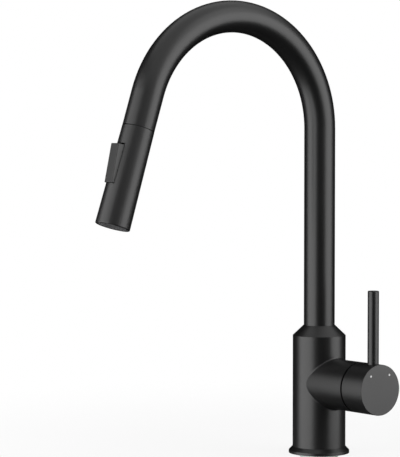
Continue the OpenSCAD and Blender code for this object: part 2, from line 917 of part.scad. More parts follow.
// Rocker in its level position round its pin, before it is tilted
module level_rocker() {
    half_w = rocker_w / 2;
    half_l = rocker_l / 2;
    inner = half_w - skirt_wall;
    difference() {
        union() {
            difference() {
                translate([-half_w, skirt_y, -half_l]) cube([rocker_w, face_y - skirt_y, rocker_l]);
                translate([-inner, skirt_y - 1, -half_l + skirt_wall])
                    cube([2 * inner, face_y - skirt_y + 1 - rocker_plate, rocker_l - 2 * skirt_wall]);
            }
            for (side = [0, 1])
                mirror([side, 0, 0]) {
                    translate([prong_in, pin_y - boss_drop, -boss_half])
                        cube([half_w - prong_in, face_y - pin_y, 2 * boss_half]);
                    translate([prong_in, 0, -prong_t / 2])
                        cube([prong_out - prong_in, pin_y + 2, prong_t]);
                    translate([prong_in, 0, 0]) rotate([0, 90, 0])
                        cylinder(r = prong_r, h = prong_out - prong_in);
                }
        }
        translate([0, pin_y, 0]) rotate([0, 90, 0])
            cylinder(r = rocker_pin_r + run, h = rocker_w + 2, center = true);
    }
}

// Rocker with its spray end pressed in
module rocker_button() {
    color([0.12, 0.12, 0.12])
    along_head() translate([0, pin_y, rocker_z]) rotate([rocker_tilt, 0, 0])
        translate([0, -pin_y, 0]) level_rocker();
}

// Spool that the rocker's fork slides: two lands, the neck between them and end rods
module diverter_spool() {
    half_groove = prong_r + fork_clear;
    color([0.85, 0.85, 0.8])
    along_head() translate([0, 0, rocker_z + spool_shift])
        difference() {
            union() {
                bar(spool_neck_r, -half_groove - 1, half_groove + 1);
                for (side = [0, 1])
                    mirror([0, 0, side]) {
                        bar(spool_r, half_groove, half_groove + 1.4);
                        bar(spool_neck_r + 0.4, half_groove, spool_half);
                        bar(spool_r, spool_half - spool_land, spool_half);
                    }
            }
            for (side = [0, 1])
                mirror([0, 0, side])
                    ring(spool_r + 1, spool_r - 1, spool_half - spool_land / 2 - 0.9,
                         spool_half - spool_land / 2 + 0.9);
        }
}

// O-rings on the spool's lands
module spool_seals() {
    color([0.1, 0.1, 0.1])
    along_head() translate([0, 0, rocker_z + spool_shift])
        for (side = [-1, 1])
            translate([0, 0, side * (spool_half - spool_land / 2)])
                rotate_extrude() translate([spool_r - 0.5, 0]) circle(r = 0.45);
}

// Turning carrier of the cartridge with the slot that the stem tilts in
module carrier() {
    color([0.25, 0.25, 0.28])
    along_branch()
        difference() {
            union() {
                bar(carrier_r, carrier_x, lip_x - free);
                bar(neck_r, carrier_x + 1, carrier_top);
            }
            translate([-slot_half, -stem_w / 2 - free, carrier_x - 1])
                cube([2 * slot_half, stem_w + 2 * free, carrier_top - carrier_x + 2]);
            translate([0, 0, pivot_x]) rotate([90, 0, 0])
                cylinder(r = stem_pin_d / 2 + seat, h = neck_d + 2, center = true);
        }
}

// Pin that the stem tilts on
module stem_pin() {
    color([0.75, 0.75, 0.75])
    along_branch() translate([0, 0, pivot_x]) rotate([90, 0, 0])
        cylinder(d = stem_pin_d, h = neck_d - 1.6, center = true);
}

// Moving ceramic disc with its mixing chamber
module moving_disc() {
    color([0.95, 0.95, 0.92])
    along_branch() translate([disc_shift, 0, 0])
        difference() {
            bar(disc_r, moving_x, moving_x + disc_t - 0.3);
            bar(disc_r * 0.6, moving_x - 1, moving_x + disc_t * 0.5);
        }
}

// Driver on the moving disc, with the pocket for the stem's ball
module disc_driver() {
    color([0.3, 0.3, 0.32])
    along_branch()
        difference() {
            union() {
                translate([disc_shift, 0, 0]) bar(disc_r - 1, driver_x, driver_x + driver_t);
                bar(driver_boss_r, driver_x, boss_top);
            }
            bar(pocket_r, ball_x - ball_r - free, boss_top + 1);
        }
}

// Stem: ball, neck and square bar that the handle is fixed on
module stem() {
    color([0.8, 0.68, 0.35])
    along_branch()
        difference() {
            union() {
                translate([0, 0, ball_x]) sphere(r = ball_r);
                bar(stem_neck_r, ball_x, pivot_x - 4);
                translate([-stem_w / 2, -stem_w / 2, pivot_x - 5])
                    cube([stem_w, stem_w, stem_end - pivot_x + 5]);
            }
            translate([0, 0, pivot_x]) rotate([90, 0, 0])
                cylinder(r = stem_pin_d / 2 + run, h = stem_w + 2, center = true);
        }
}

// Handle cap, hollowed by the sphere round its tilt axis
module handle_cap() {
    color([0.12, 0.12, 0.12])
    difference() {
        along_branch() {
            bar(branch_r, cap_x, cap_face - face_chamfer);
            translate([0, 0, cap_face - face_chamfer])
                cylinder(r1 = branch_r, r2 = branch_r - face_chamfer, h = face_chamfer);
        }
        along_branch() {
            translate([0, 0, pivot_x]) sphere(r = cap_sphere);
            translate([-stem_w / 2 - seat, -stem_w / 2 - seat, pivot_x])
                cube([stem_w + 2 * seat, stem_w + 2 * seat, stem_end - pivot_x + 0.3]);
            for (side = [-1, 1])
                rotate([0, 0, side * dot_angle]) translate([-dot_r, 0, 0])
                    bar(dot_d / 2 + seat, cap_face - dot_depth, cap_face + 1);
        }
        translate([lever_x, 0, valve_z]) {
            bar(lever_r + seat, lever_seat, branch_r + 1);
            bar(grub_d / 2 + seat, -branch_r - 1, 0);
            bar(plug_r, -branch_r - 1, -branch_r + plug_l + 0.2);
        }
    }
}

// Round lever rod
module lever_rod() {
    color([0.12, 0.12, 0.12])
    translate([lever_x, 0, valve_z]) {
        bar(lever_r, lever_seat + 0.1, lever_top - lever_chamfer);
        translate([0, 0, lever_top - lever_chamfer])
            cylinder(r1 = lever_r, r2 = lever_r - lever_chamfer, h = lever_chamfer);
    }
}

// Grub screw that clamps the cap on the stem
module grub_screw() {
    color([0.6, 0.6, 0.6])
    translate([lever_x, 0, valve_z - stem_w / 2 - 0.1])
        difference() {
            bar(grub_d / 2, -grub_l, 0);
            hex_bar(2.5, -grub_l - 1, -grub_l + 2.6);
        }
}

// Plug over the grub screw, flush with the cap
module screw_plug() {
    color([0.12, 0.12, 0.12])
    intersection() {
        translate([lever_x, 0, valve_z]) bar(plug_r - seat, -branch_r, -branch_r + plug_l);
        along_branch() bar(branch_r, cap_x, cap_face);
    }
}

// Two index dots set in the front face
module index_dots() {
    color([0.85, 0.85, 0.85])
    along_branch()
        for (side = [-1, 1])
            rotate([0, 0, side * dot_angle]) translate([-dot_r, 0, 0])
                bar(dot_d / 2, cap_face - dot_depth + 0.02, cap_face);
}

body_column();
base_ring();
base_gasket();
centring_ring();
gland_cone();
upper_bush();
lower_slide_ring();
thrust_washer();
swivel_stop_screw();
fixing_stud();
horseshoe_pad();
horseshoe_washer();
fixing_nut();
cartridge_base();
port_seals();
cartridge_housing();
fixed_disc();
cartridge_nut();
dome_cover();
hose_tail_ferrule();
hose_tail_nut();
spout_tube();
spout_collar();
docking_insert();
spray_hose();
head_shell();
head_core();
hose_nut();
hose_ferrule();
filter_washer();
check_valve();
rocker_pin();
spray_manifold();
nozzle_mat();
spray_plate();
aerator();
rocker_button();
diverter_spool();
spool_seals();
carrier();
stem_pin();
moving_disc();
disc_driver();
stem();
handle_cap();
lever_rod();
grub_screw();
screw_plug();
index_dots();
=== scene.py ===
"""Looks of a pull-out kitchen mixer tap: swan-neck spout, docked spray head and side lever.

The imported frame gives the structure. This file rounds the edges, adds threads, crimps, the
hose's braid and the spray face, gives every piece its finish and sets up the studio.
"""

import json
import logging
import math
from collections.abc import Callable, Iterable, Sequence
from dataclasses import dataclass, field
from enum import Enum

import bmesh
import bpy
from mathutils import Matrix, Vector


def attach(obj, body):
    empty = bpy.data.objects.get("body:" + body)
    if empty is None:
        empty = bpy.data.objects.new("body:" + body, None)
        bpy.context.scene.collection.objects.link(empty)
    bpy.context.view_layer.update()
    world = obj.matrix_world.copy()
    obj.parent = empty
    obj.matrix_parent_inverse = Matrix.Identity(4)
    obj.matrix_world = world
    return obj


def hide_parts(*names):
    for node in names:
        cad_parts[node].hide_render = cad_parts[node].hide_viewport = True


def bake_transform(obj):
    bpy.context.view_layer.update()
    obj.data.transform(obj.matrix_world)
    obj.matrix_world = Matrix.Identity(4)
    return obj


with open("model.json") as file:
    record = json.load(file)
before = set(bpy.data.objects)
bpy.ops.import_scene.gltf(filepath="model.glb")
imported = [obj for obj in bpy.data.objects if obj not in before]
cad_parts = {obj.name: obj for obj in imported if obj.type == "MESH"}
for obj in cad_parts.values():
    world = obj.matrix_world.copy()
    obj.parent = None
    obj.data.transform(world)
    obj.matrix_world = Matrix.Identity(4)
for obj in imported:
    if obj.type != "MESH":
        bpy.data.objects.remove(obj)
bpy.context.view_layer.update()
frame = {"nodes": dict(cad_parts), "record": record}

log = logging.getLogger("tap")

# Lengths are in millimetres on a piece's own axes. Finishes, the studio and CAD_WELD are in metres.
MM = 0.001
FULL_TURN = 2 * math.pi
SHARP = math.radians(38)
FLAT = math.radians(0.6)
WELD = 0.0005
CAD_WELD = 0.000002
ON_PLANE = 0.0001
AREA_WEIGHT = 60
CREST_SHARE = 0.12
BEND_ANGLE = math.radians(162)
BEND_RADIUS = 98.0
RISER_TOP = 294.0
BEND_END = Vector((0.0, -BEND_RADIUS * (1 - math.cos(BEND_ANGLE)),
                   RISER_TOP + BEND_RADIUS * math.sin(BEND_ANGLE)))
DOWN_HEAD = Vector((0.0, -math.sin(BEND_ANGLE), math.cos(BEND_ANGLE)))
BRANCH_HEIGHT = 64.5
STUD_OFFSET = 11.9
LEVER_REACH = 73.46
HOSE_MAP = "length_and_turn"
Point = tuple[float, float]


class Lie(Enum):
    """Which way a piece's own axis lies in the tap."""

    COLUMN = "column"
    HEAD = "head"
    BRANCH = "branch"
    STUD = "stud"
    LEVER = "lever"

    def origin(self) -> Vector:
        """The start of the axis, in millimetres.

        Returns:
            A place in the tap's frame.
        """
        return {Lie.COLUMN: Vector((0, 0, 0)), Lie.HEAD: BEND_END,
                Lie.BRANCH: Vector((0, 0, BRANCH_HEIGHT)), Lie.STUD: Vector((-STUD_OFFSET, 0, 0)),
                Lie.LEVER: Vector((LEVER_REACH, 0, 0))}[self]

    def turn(self) -> tuple[float, float, float]:
        """The axis's turn from upright, as Euler angles."""
        return {Lie.HEAD: (BEND_ANGLE, 0.0, 0.0),
                Lie.BRANCH: (0.0, math.pi / 2, 0.0)}.get(self, (0.0, 0.0, 0.0))

    def matrix(self) -> Matrix:
        """Takes millimetres on the piece's own axes to metres in the tap's frame.

        Returns:
            The matrix.
        """
        angle_x, angle_y, _ = self.turn()
        turn = Matrix.Rotation(angle_x, 4, "X") @ Matrix.Rotation(angle_y, 4, "Y")
        return Matrix.Scale(MM, 4) @ Matrix.Translation(self.origin()) @ turn


# Materials


class Wire:
    """A socket's value in a material, with arithmetic that adds its Math nodes."""

    def __init__(self, graph: "Graph", socket: bpy.types.NodeSocket) -> None:
        """Keeps the graph and the output socket."""
        self.graph = graph
        self.socket = socket

    def math(self, operation: str, first: "Wire | float", second: "Wire | float" = 0.0) -> "Wire":
        """The result of one Math node on two values."""
        return self.graph.add("ShaderNodeMath", {"operation": operation}, {0: first, 1: second})

    def __add__(self, other: "Wire | float") -> "Wire":
        """self + other."""
        return self.math("ADD", self, other)

    def __radd__(self, other: float) -> "Wire":
        """other + self."""
        return self.math("ADD", other, self)

    def __sub__(self, other: "Wire | float") -> "Wire":
        """self - other."""
        return self.math("SUBTRACT", self, other)

    def __rsub__(self, other: float) -> "Wire":
        """other - self."""
        return self.math("SUBTRACT", other, self)

    def __mul__(self, other: "Wire | float") -> "Wire":
        """self * other."""
        return self.math("MULTIPLY", self, other)

    def __rmul__(self, other: float) -> "Wire":
        """other * self."""
        return self.math("MULTIPLY", other, self)

    def __pow__(self, other: float) -> "Wire":
        """self ** other."""
        return self.math("POWER", self, other)

    def __abs__(self) -> "Wire":
        """abs(self)."""
        return self.math("ABSOLUTE", self)

    def above(self, limit: "Wire | float") -> "Wire":
        """1 where self is over the limit, else 0."""
        return self.math("GREATER_THAN", self, limit)

    def wave(self) -> "Wire":
        """The sine of self."""
        return self.math("SINE", self)

    def larger(self, other: "Wire | float") -> "Wire":
        """The larger of the two."""
        return self.math("MAXIMUM", self, other)

    def beside(self, output: str | int) -> "Wire":
        """Another output of the same node."""
        return Wire(self.graph, self.socket.node.outputs[output])


class Graph:
    """The node tree of one material or of the world."""

    def __init__(self, owner: bpy.types.Material | bpy.types.World) -> None:
        """Empties the owner's node tree.

        Args:
            owner: the material or the world.
        """
        self.owner = owner
        owner.use_nodes = True
        self.tree = owner.node_tree
        self.tree.nodes.clear()

    @classmethod
    def named(cls, name: str) -> "Graph":
        """Starts an empty material of that name."""
        return cls(bpy.data.materials.new(name))

    def add(self, kind: str, settings: dict | None = None, inputs: dict | None = None,
            output: str | int = 0) -> Wire:
        """Adds one node and takes one of its outputs, told by name or number."""
        return Wire(self, self.node(kind, settings, inputs).outputs[output])

    def node(self, kind: str, settings: dict | None = None,
             inputs: dict | None = None) -> bpy.types.Node:
        """Adds one node.

        Args:
            kind: the node's type.
            settings: its own settings, set first; "stops" fills a colour ramp.
            inputs: values or wires by socket name or number.

        Returns:
            The node.
        """
        node = self.tree.nodes.new(kind)
        for key, value in (settings or {}).items():
            if key == "stops":
                ramp = node.color_ramp.elements
                while len(ramp) < len(value):
                    ramp.new(0.5)
                for stop, (place, shade) in zip(ramp, value):
                    stop.position = place
                    stop.color = (shade, shade, shade, 1.0)
            else:
                setattr(node, key, value)
        for key, value in (inputs or {}).items():
            if isinstance(value, Wire):
                self.tree.links.new(value.socket, node.inputs[key])
            else:
                node.inputs[key].default_value = value
        return node

    def place(self, lie: Lie | None = None) -> Wire:
        """Object coordinates in metres, along a piece's own axis if one is given.

        Args:
            lie: the piece's axis, or None for the tap's own.

        Returns:
            The coordinates.
        """
        spot = self.add("ShaderNodeTexCoord", output="Object")
        if lie is None:
            return spot
        return self.add("ShaderNodeMapping", {"vector_type": "TEXTURE"},
                        {"Vector": spot, "Location": lie.origin() * MM, "Rotation": lie.turn()})

    def noise(self, spot: Wire, scale: float, detail: float = 2.0) -> Wire:
        """Noise from 0 to 1 at so many cells a metre."""
        return self.add("ShaderNodeTexNoise", {},
                        {"Vector": spot, "Scale": scale, "Detail": detail})

    def blend(self, share: Wire, first: Sequence[float], second: Sequence[float]) -> Wire:
        """A colour between two by a share from 0 to 1."""
        return self.add("ShaderNodeMix", {"data_type": "RGBA"},
                        {0: share, 6: (*first, 1.0), 7: (*second, 1.0)}, output=2)

    def bump(self, height: Wire, strength: float, distance: float) -> Wire:
        """The normal of a relief whose height runs from 0 to 1 over that distance in metres."""
        return self.add("ShaderNodeBump", {},
                        {"Height": height, "Strength": strength, "Distance": distance})

    def finish(self, **sockets: "Wire | float | Sequence[float]") -> bpy.types.Material:
        """Adds the shader and the output.

        Args:
            sockets: the shader's sockets, with an underscore for each space.

        Returns:
            The material.
        """
        named = {name.replace("_", " "): value for name, value in sockets.items()}
        return self.shaded(self.add("ShaderNodeBsdfPrincipled", {}, named))

    def shaded(self, shader: Wire) -> bpy.types.Material | bpy.types.World:
        """Leads a shader to the output and gives back the finished material or world.

        Args:
            shader: the shader.

        Returns:
            The graph's owner.
        """
        kind = "World" if isinstance(self.owner, bpy.types.World) else "Material"
        self.node(f"ShaderNodeOutput{kind}", {}, {"Surface": shader})
        return self.owner


@dataclass(frozen=True)
class SatinCoat:
    """Satin black coat on metal or on a moulding: near black, finely pebbled, softly cloudy.

    Pebbles and clouds are counted in cells a metre, and light is how far a cloud lifts the shade.
    """

    name: str
    shade: float = 0.003
    roughness: float = 0.33
    pebble: float = 1900.0
    relief: float = 0.000012
    clouds: float = 38.0
    light: tuple[float, float, float] = (1.35, 1.35, 1.42)
    rough_clouds: float = 0.05
    rough_grain: float = 0.02
    bump: float = 0.35

    def material(self) -> bpy.types.Material:
        """Builds the coat.

        Returns:
            The material.
        """
        graph = Graph.named(self.name)
        spot = graph.place()
        cloud = graph.noise(spot, self.clouds, detail=3.0)
        grain = graph.noise(spot, self.pebble, detail=3.0)
        dark = [self.shade] * 3
        light = [self.shade * c for c in self.light]
        return graph.finish(
            Base_Color=graph.blend(cloud, dark, light),
            Roughness=self.roughness + self.rough_clouds * cloud + self.rough_grain * grain,
            Normal=graph.bump(grain, self.bump, self.relief))


@dataclass(frozen=True)
class TurnedMetal:
    """Bare machined metal with the fine rings that the tool leaves.

    Tool marks and clouds are counted in cells a metre, and dullest is the darkest share of the
    colour.
    """

    name: str
    colour: tuple[float, float, float]
    roughness: float
    tool_marks: float = 5200.0
    relief: float = 0.00001
    clouds: float = 90.0
    dullest: float = 0.82
    rough_rings: float = 0.1
    rough_clouds: float = 0.06
    bump: float = 0.3

    def material(self, lie: Lie) -> bpy.types.Material:
        """Builds the metal, turned round the given axis.

        Args:
            lie: the axis that the piece was turned round.

        Returns:
            The material.
        """
        graph = Graph.named(f"{self.name}_{lie.value}")
        across = graph.add("ShaderNodeSeparateXYZ", {}, {0: graph.place(lie)})
        side, along = across.beside(1), across.beside(2)
        radius = (across * across + side * side) ** 0.5
        lathe = graph.add("ShaderNodeCombineXYZ", {}, {0: radius, 1: along})
        rings = graph.noise(lathe, self.tool_marks)
        cloud = graph.noise(graph.place(), self.clouds)
        dull = [self.dullest * c for c in self.colour]
        return graph.finish(
            Base_Color=graph.blend(cloud, dull, self.colour), Metallic=1.0,
            Roughness=self.roughness + self.rough_rings * rings + self.rough_clouds * cloud,
            Normal=graph.bump(rings, self.bump, self.relief))


@dataclass(frozen=True)
class Moulding:
    """Moulded plastic, rubber or ceramic: a fine spark-eroded grain and slightly uneven colour.

    Grain and clouds are counted in cells a metre, and deepest is the darkest share of the colour.
    """

    name: str
    colour: tuple[float, float, float]
    roughness: float
    grain: float = 1500.0
    relief: float = 0.00001
    glow: float = 0.0
    glow_depth: float = 0.001
    clouds: float = 60.0
    deepest: float = 0.86
    rough_grain: float = 0.08
    bump: float = 0.4

    def material(self) -> bpy.types.Material:
        """Builds the moulding.

        Returns:
            The material.
        """
        graph = Graph.named(self.name)
        spot = graph.place()
        cloud = graph.noise(spot, self.clouds, detail=3.0)
        grain = graph.noise(spot, self.grain)
        deep = [self.deepest * c for c in self.colour]
        return graph.finish(
            Base_Color=graph.blend(cloud, deep, self.colour),
            Roughness=self.roughness + self.rough_grain * grain, Subsurface_Weight=self.glow,
            Subsurface_Scale=self.glow_depth, Normal=graph.bump(grain, self.bump, self.relief))


@dataclass(frozen=True)
class Braid:
    """Woven sheath of the spray hose: two families of flat strands that cross over and under.

    The pitch is in metres of hose, and the stops give its greys by height, which are painted shade:
    the deeper a place lies between the strands, the darker it is painted.
    """

    name: str
    strands: int = 12
    pitch: float = 0.0016
    yarns: float = 5.0
    fluff: float = 900.0
    ridge_height: float = 0.85
    yarn_height: float = 0.1
    # Painted shade between the strands: how far height sets the grey; the fluff tint after it
    # varies at random.
    groove_shade_weight: float = 0.9
    fluff_tone: float = 0.12
    groove_shade_stops: tuple[Point, ...] = ((0.0, 0.012), (0.45, 0.09), (1.0, 0.2))
    roughness: float = 0.55
    worn_ridge: float = 0.12
    bump: float = 0.8
    relief: float = 0.0004

    def material(self) -> bpy.types.Material:
        """Builds the sheath on the hose's own map: u round it, v along it in metres.

        Returns:
            The material.
        """
        graph = Graph.named(self.name)
        chart = graph.add("ShaderNodeUVMap", {"uv_map": HOSE_MAP})
        parts = graph.add("ShaderNodeSeparateXYZ", {}, {0: chart})
        turn = parts * (math.pi * self.strands)
        along = parts.beside(1) * (math.pi / self.pitch)
        left, right = (turn + along).wave(), (turn - along).wave()
        over = (left * right).above(0.0)
        ridge = over * abs(left) + (1.0 - over) * abs(right)
        yarn = (((turn + along) * self.yarns).wave() * over
                + ((turn - along) * self.yarns).wave() * (1.0 - over))
        height = ridge * self.ridge_height + yarn * self.yarn_height
        tint = graph.noise(graph.place(), self.fluff)
        # Painted shade: the grey darkens where the strands lie deeper, and the fluff tint varies it
        # at random.
        shade = graph.add("ShaderNodeValToRGB", {"stops": self.groove_shade_stops},
                          {"Fac": height * self.groove_shade_weight + tint * self.fluff_tone})
        return graph.finish(Base_Color=shade, Roughness=self.roughness - self.worn_ridge * ridge,
                            Normal=graph.bump(height, self.bump, self.relief))


FINISHES = {
    "satin_black_metal": SatinCoat("satin_black_coat"),
    "satin_black_plastic": SatinCoat("satin_black_moulding", shade=0.0035, roughness=0.35,
                                     pebble=1600.0, relief=0.000014),
    "dark_plastic": Moulding("dark_moulding", (0.03, 0.03, 0.032), 0.38),
    "pale_plastic": Moulding("acetal", (0.72, 0.72, 0.69), 0.31, grain=1100.0, relief=0.000006,
                             glow=0.2),
    "valve_plastic": Moulding("check_valve_moulding", (0.05, 0.16, 0.5), 0.21, grain=900.0,
                              relief=0.000004),
    "ceramic": Moulding("lapped_ceramic", (0.85, 0.84, 0.8), 0.08, grain=3000.0,
                        relief=0.000002),
    "brass": TurnedMetal("machined_brass", (0.72, 0.53, 0.25), 0.23),
    "steel": TurnedMetal("plain_steel", (0.56, 0.56, 0.55), 0.25),
    "black_rubber": Moulding("black_rubber", (0.02, 0.02, 0.02), 0.58, grain=1300.0,
                             relief=0.00002),
    "hose_braid": Braid("braided_sheath"),
    "grey_silicone": Moulding("soft_silicone", (0.1, 0.1, 0.104), 0.51, grain=1800.0,
                              relief=0.000008),
    "grey_plastic": Moulding("plate_moulding", (0.11, 0.11, 0.113), 0.38),
    "index_silver": Moulding("index_mark", (0.62, 0.62, 0.62), 0.31, grain=2500.0,
                             relief=0.000003),
}
NODE_LIE = {
    "fixing_stud": Lie.STUD, "fixing_nut": Lie.STUD, "cartridge_nut": Lie.BRANCH,
    "stem": Lie.BRANCH, "hose_nut": Lie.HEAD, "hose_ferrule": Lie.HEAD, "grub_screw": Lie.LEVER,
}


class Wardrobe:
    """Hands out each finish once for each direction that it is used in."""

    def __init__(self) -> None:
        """Starts empty and reads which slot each CAD node has."""
        self.made: dict[tuple[str, str], bpy.types.Material] = {}
        self.slots = {row["node"]: row["material_slot"] for row in frame["record"]["subparts"]}

    def get(self, slot: str, lie: Lie) -> bpy.types.Material:
        """The material of a slot.

        Args:
            slot: the record's name for the finish.
            lie: the piece's axis, which turned metal follows.

        Returns:
            The material, made on first use.
        """
        finish = FINISHES[slot]
        turned = isinstance(finish, TurnedMetal)
        key = (slot, lie.value if turned else "")
        if key not in self.made:
            self.made[key] = finish.material(lie) if turned else finish.material()
        return self.made[key]

    def dress(self, piece: bpy.types.Object, slot: str, lie: Lie) -> None:
        """Gives a piece one finish all over, along its axis."""
        piece.data.materials.clear()
        piece.data.materials.append(self.get(slot, lie))

    def dress_frame(self) -> None:
        """Gives every CAD node the finish of its slot."""
        for name, node in frame["nodes"].items():
            self.dress(node, self.slots[name], NODE_LIE.get(name, Lie.COLUMN))


WARDROBE = Wardrobe()


# Modelling


class Shape:
    """A mesh being modelled, in millimetres on its piece's own axes."""

    def __init__(self) -> None:
        """Starts an empty mesh."""
        self.bm = bmesh.new()

    def lathe(self, profile: Sequence[Point], steps: int = 96) -> "Shape":
        """Turns a closed profile round the piece's axis.

        Args:
            profile: corners as (radius, height).
            steps: how many flats make the circle.

        Returns:
            The shape itself.
        """
        corners = [self.bm.verts.new((radius, 0.0, height)) for radius, height in profile]
        ends = corners[1:] + corners[:1]
        edges = [self.bm.edges.new(pair) for pair in zip(corners, ends)]
        bmesh.ops.spin(self.bm, geom=corners + edges, cent=(0, 0, 0), axis=(0, 0, 1),
                       dvec=(0, 0, 0), angle=FULL_TURN, steps=steps, use_merge=True)
        return self.heal()

    def cut(self, height: float, way: int) -> list[bmesh.types.BMEdge]:
        """Takes away what lies beyond a height.

        Args:
            height: the cut's height.
            way: 1 to take away what is above, -1 for what is below.

        Returns:
            The edges of the open rim.
        """
        everything = self.bm.verts[:] + self.bm.edges[:] + self.bm.faces[:]
        found = bmesh.ops.bisect_plane(self.bm, geom=everything, dist=ON_PLANE,
                                       plane_co=(0, 0, height), plane_no=(0, 0, way),
                                       clear_outer=True)
        return [e for e in found["geom_cut"] if isinstance(e, bmesh.types.BMEdge)]

    def thread(self, core: float, crest: float, pitch: float, bottom: float, top: float,
               steps: int) -> "Shape":
        """Winds a closed screw thread with flat ends.

        Args:
            core: radius at the thread's root.
            crest: radius at its crest.
            pitch: rise of one turn.
            bottom: height of the lower end.
            top: height of the upper end.
            steps: how many flats make one turn.

        Returns:
            The shape itself.
        """
        turns = math.ceil((top - bottom) / pitch) + 2
        low = bottom - pitch
        rise = (1 - CREST_SHARE) / 2 * pitch
        flank = [(core, 0.0), (crest, rise), (crest, pitch - rise), (core, pitch)]
        corners = [self.bm.verts.new((radius, 0.0, low + height)) for radius, height in flank]
        edges = [self.bm.edges.new(pair) for pair in zip(corners, corners[1:])]
        bmesh.ops.spin(self.bm, geom=corners + edges, cent=(0, 0, 0), axis=(0, 0, 1),
                       dvec=(0, 0, pitch / steps), angle=FULL_TURN * turns, steps=steps * turns)
        self.heal()
        for height, way in ((bottom, -1), (top, 1)):
            bmesh.ops.edgeloop_fill(self.bm, edges=self.cut(height, way))
        return self.heal()

    def pipe_nut(self, flats: float, bore: float, bottom: float, top: float,
                 turn: float = 0.0, steps: int = 24) -> "Shape":
        """Makes a hexagon with a round bore.

        Args:
            flats: width across the flats.
            bore: radius of the bore.
            bottom: height of the lower face.
            top: height of the upper face.
            turn: how far it is turned from having a corner on the Y axis, in degrees.
            steps: how many flats make the bore, a multiple of six.

        Returns:
            The shape itself.
        """
        loops = []
        for height in (bottom, top):
            outer = bmesh.ops.create_circle(self.bm, segments=6,
                                            radius=flats / math.sqrt(3))["verts"]
            sides = list({e for v in outer for e in v.link_edges})
            cut = bmesh.ops.subdivide_edges(self.bm, edges=sides, cuts=steps // 6 - 1)
            ring = {v for e in sides for v in e.verts} | {
                g for g in cut["geom_inner"] if isinstance(g, bmesh.types.BMVert)}
            inner = bmesh.ops.create_circle(self.bm, segments=steps, radius=bore)["verts"]
            bmesh.ops.translate(self.bm, verts=list(ring) + inner, vec=(0, 0, height))
            loops.append([self._loop(ring), self._loop(set(inner))])
        (low_out, low_in), (high_out, high_in) = loops
        for first, second in ((low_out, high_out), (high_out, high_in), (high_in, low_in),
                              (low_in, low_out)):
            bmesh.ops.bridge_loops(self.bm, edges=first + second)
        bmesh.ops.rotate(self.bm, verts=self.bm.verts, cent=(0, 0, 0),
                         matrix=Matrix.Rotation(math.radians(turn), 3, "Z"))
        return self.heal()

    @staticmethod
    def _loop(ring: set[bmesh.types.BMVert]) -> list[bmesh.types.BMEdge]:
        """The edges whose two ends are both in a ring of vertices."""
        return list({e for v in ring for e in v.link_edges if set(e.verts) <= ring})

    def sweep(self, sections: Sequence[Sequence[Vector]], round_trip: bool = False) -> "Shape":
        """Skins a row of closed sections, each with the same number of corners.

        Args:
            sections: the corners of each section, in order.
            round_trip: whether the last section joins the first.

        Returns:
            The shape itself; a vertex layer "row" and a layer "corner" tell where each one is.
        """
        row_layer = self.bm.verts.layers.int.new("row")
        corner_layer = self.bm.verts.layers.int.new("corner")
        rings = []
        for row, section in enumerate(sections):
            corners = [self.bm.verts.new(spot) for spot in section]
            for corner, vert in enumerate(corners):
                vert[row_layer], vert[corner_layer] = row, corner
            ends = corners[1:] + corners[:1]
            rings.append([self.bm.edges.new(pair) for pair in zip(corners, ends)])
        pairs = list(zip(rings, rings[1:]))
        if round_trip:
            pairs.append((rings[-1], rings[0]))
        for first, second in pairs:
            bmesh.ops.bridge_loops(self.bm, edges=first + second)
        bmesh.ops.recalc_face_normals(self.bm, faces=self.bm.faces)
        return self

    def copy_of(self, node: str, to_local: Matrix) -> "Shape":
        """Takes over a CAD node's mesh, merged and with its flat faces made whole.

        Args:
            node: the CAD node.
            to_local: from metres in the tap's frame to millimetres on the piece's axes.

        Returns:
            The shape itself.
        """
        self.bm.from_mesh(frame["nodes"][node].data)
        bmesh.ops.remove_doubles(self.bm, verts=self.bm.verts, dist=CAD_WELD)
        bmesh.ops.dissolve_limit(self.bm, angle_limit=FLAT, verts=self.bm.verts,
                                 edges=self.bm.edges)
        self.bm.transform(to_local)
        return self.heal()

    def soften(self, width: float, segments: int,
               chosen: Callable[[Vector], bool] = lambda spot: True) -> "Shape":
        """Rounds the sharp edges.

        Args:
            width: how far the rounding reaches on each face.
            segments: flats across it.
            chosen: tells by an edge's middle whether it is rounded.

        Returns:
            The shape itself.
        """
        edges = [e for e in self.bm.edges if e.is_manifold and e.calc_face_angle() > SHARP
                 and chosen((e.verts[0].co + e.verts[1].co) / 2)]
        bmesh.ops.bevel(self.bm, geom=edges, offset=width, segments=segments, profile=0.5,
                        affect="EDGES", material=-1, clamp_overlap=True)
        return self

    def round_end(self, height: float, way: int, outer: float, inner: float,
                  flats: int = 5, spare: float = 0.15) -> "Shape":
        """Cuts a round sleeve's end off and grows it again with a rounded rim.

        Args:
            height: where the end face lies.
            way: 1 for an end that faces along the axis, -1 for the other one.
            outer: radius of the rounding outside.
            inner: radius of the rounding inside.
            flats: flats across each rounding.
            spare: how far before the rounding the sleeve is cut.

        Returns:
            The shape itself.
        """
        rim = self.cut(height - way * (max(outer, inner) + spare), way)
        radii = [e.verts[0].co.xy.length for e in rim]
        middle = (min(radii) + max(radii)) / 2
        ends = []
        for width, sense in ((outer, -1), (inner, 1)):
            ring = [e for e in rim if (e.verts[0].co.xy.length > middle) == (sense < 0)]
            radius = sum(e.verts[0].co.xy.length for e in ring) / len(ring)
            for i in range(flats + 1):
                turn = i / flats * math.pi / 2
                grown = bmesh.ops.extrude_edge_only(self.bm, edges=ring)["geom"]
                reach = radius + sense * width * (1 - math.cos(turn))
                for vert in (g for g in grown if isinstance(g, bmesh.types.BMVert)):
                    flat = vert.co.xy.normalized() * reach
                    vert.co = (flat.x, flat.y, height - way * width * (1 - math.sin(turn)))
                ring = [g for g in grown if isinstance(g, bmesh.types.BMEdge) and g.is_boundary]
            ends += ring
        bmesh.ops.bridge_loops(self.bm, edges=ends)
        return self.heal()

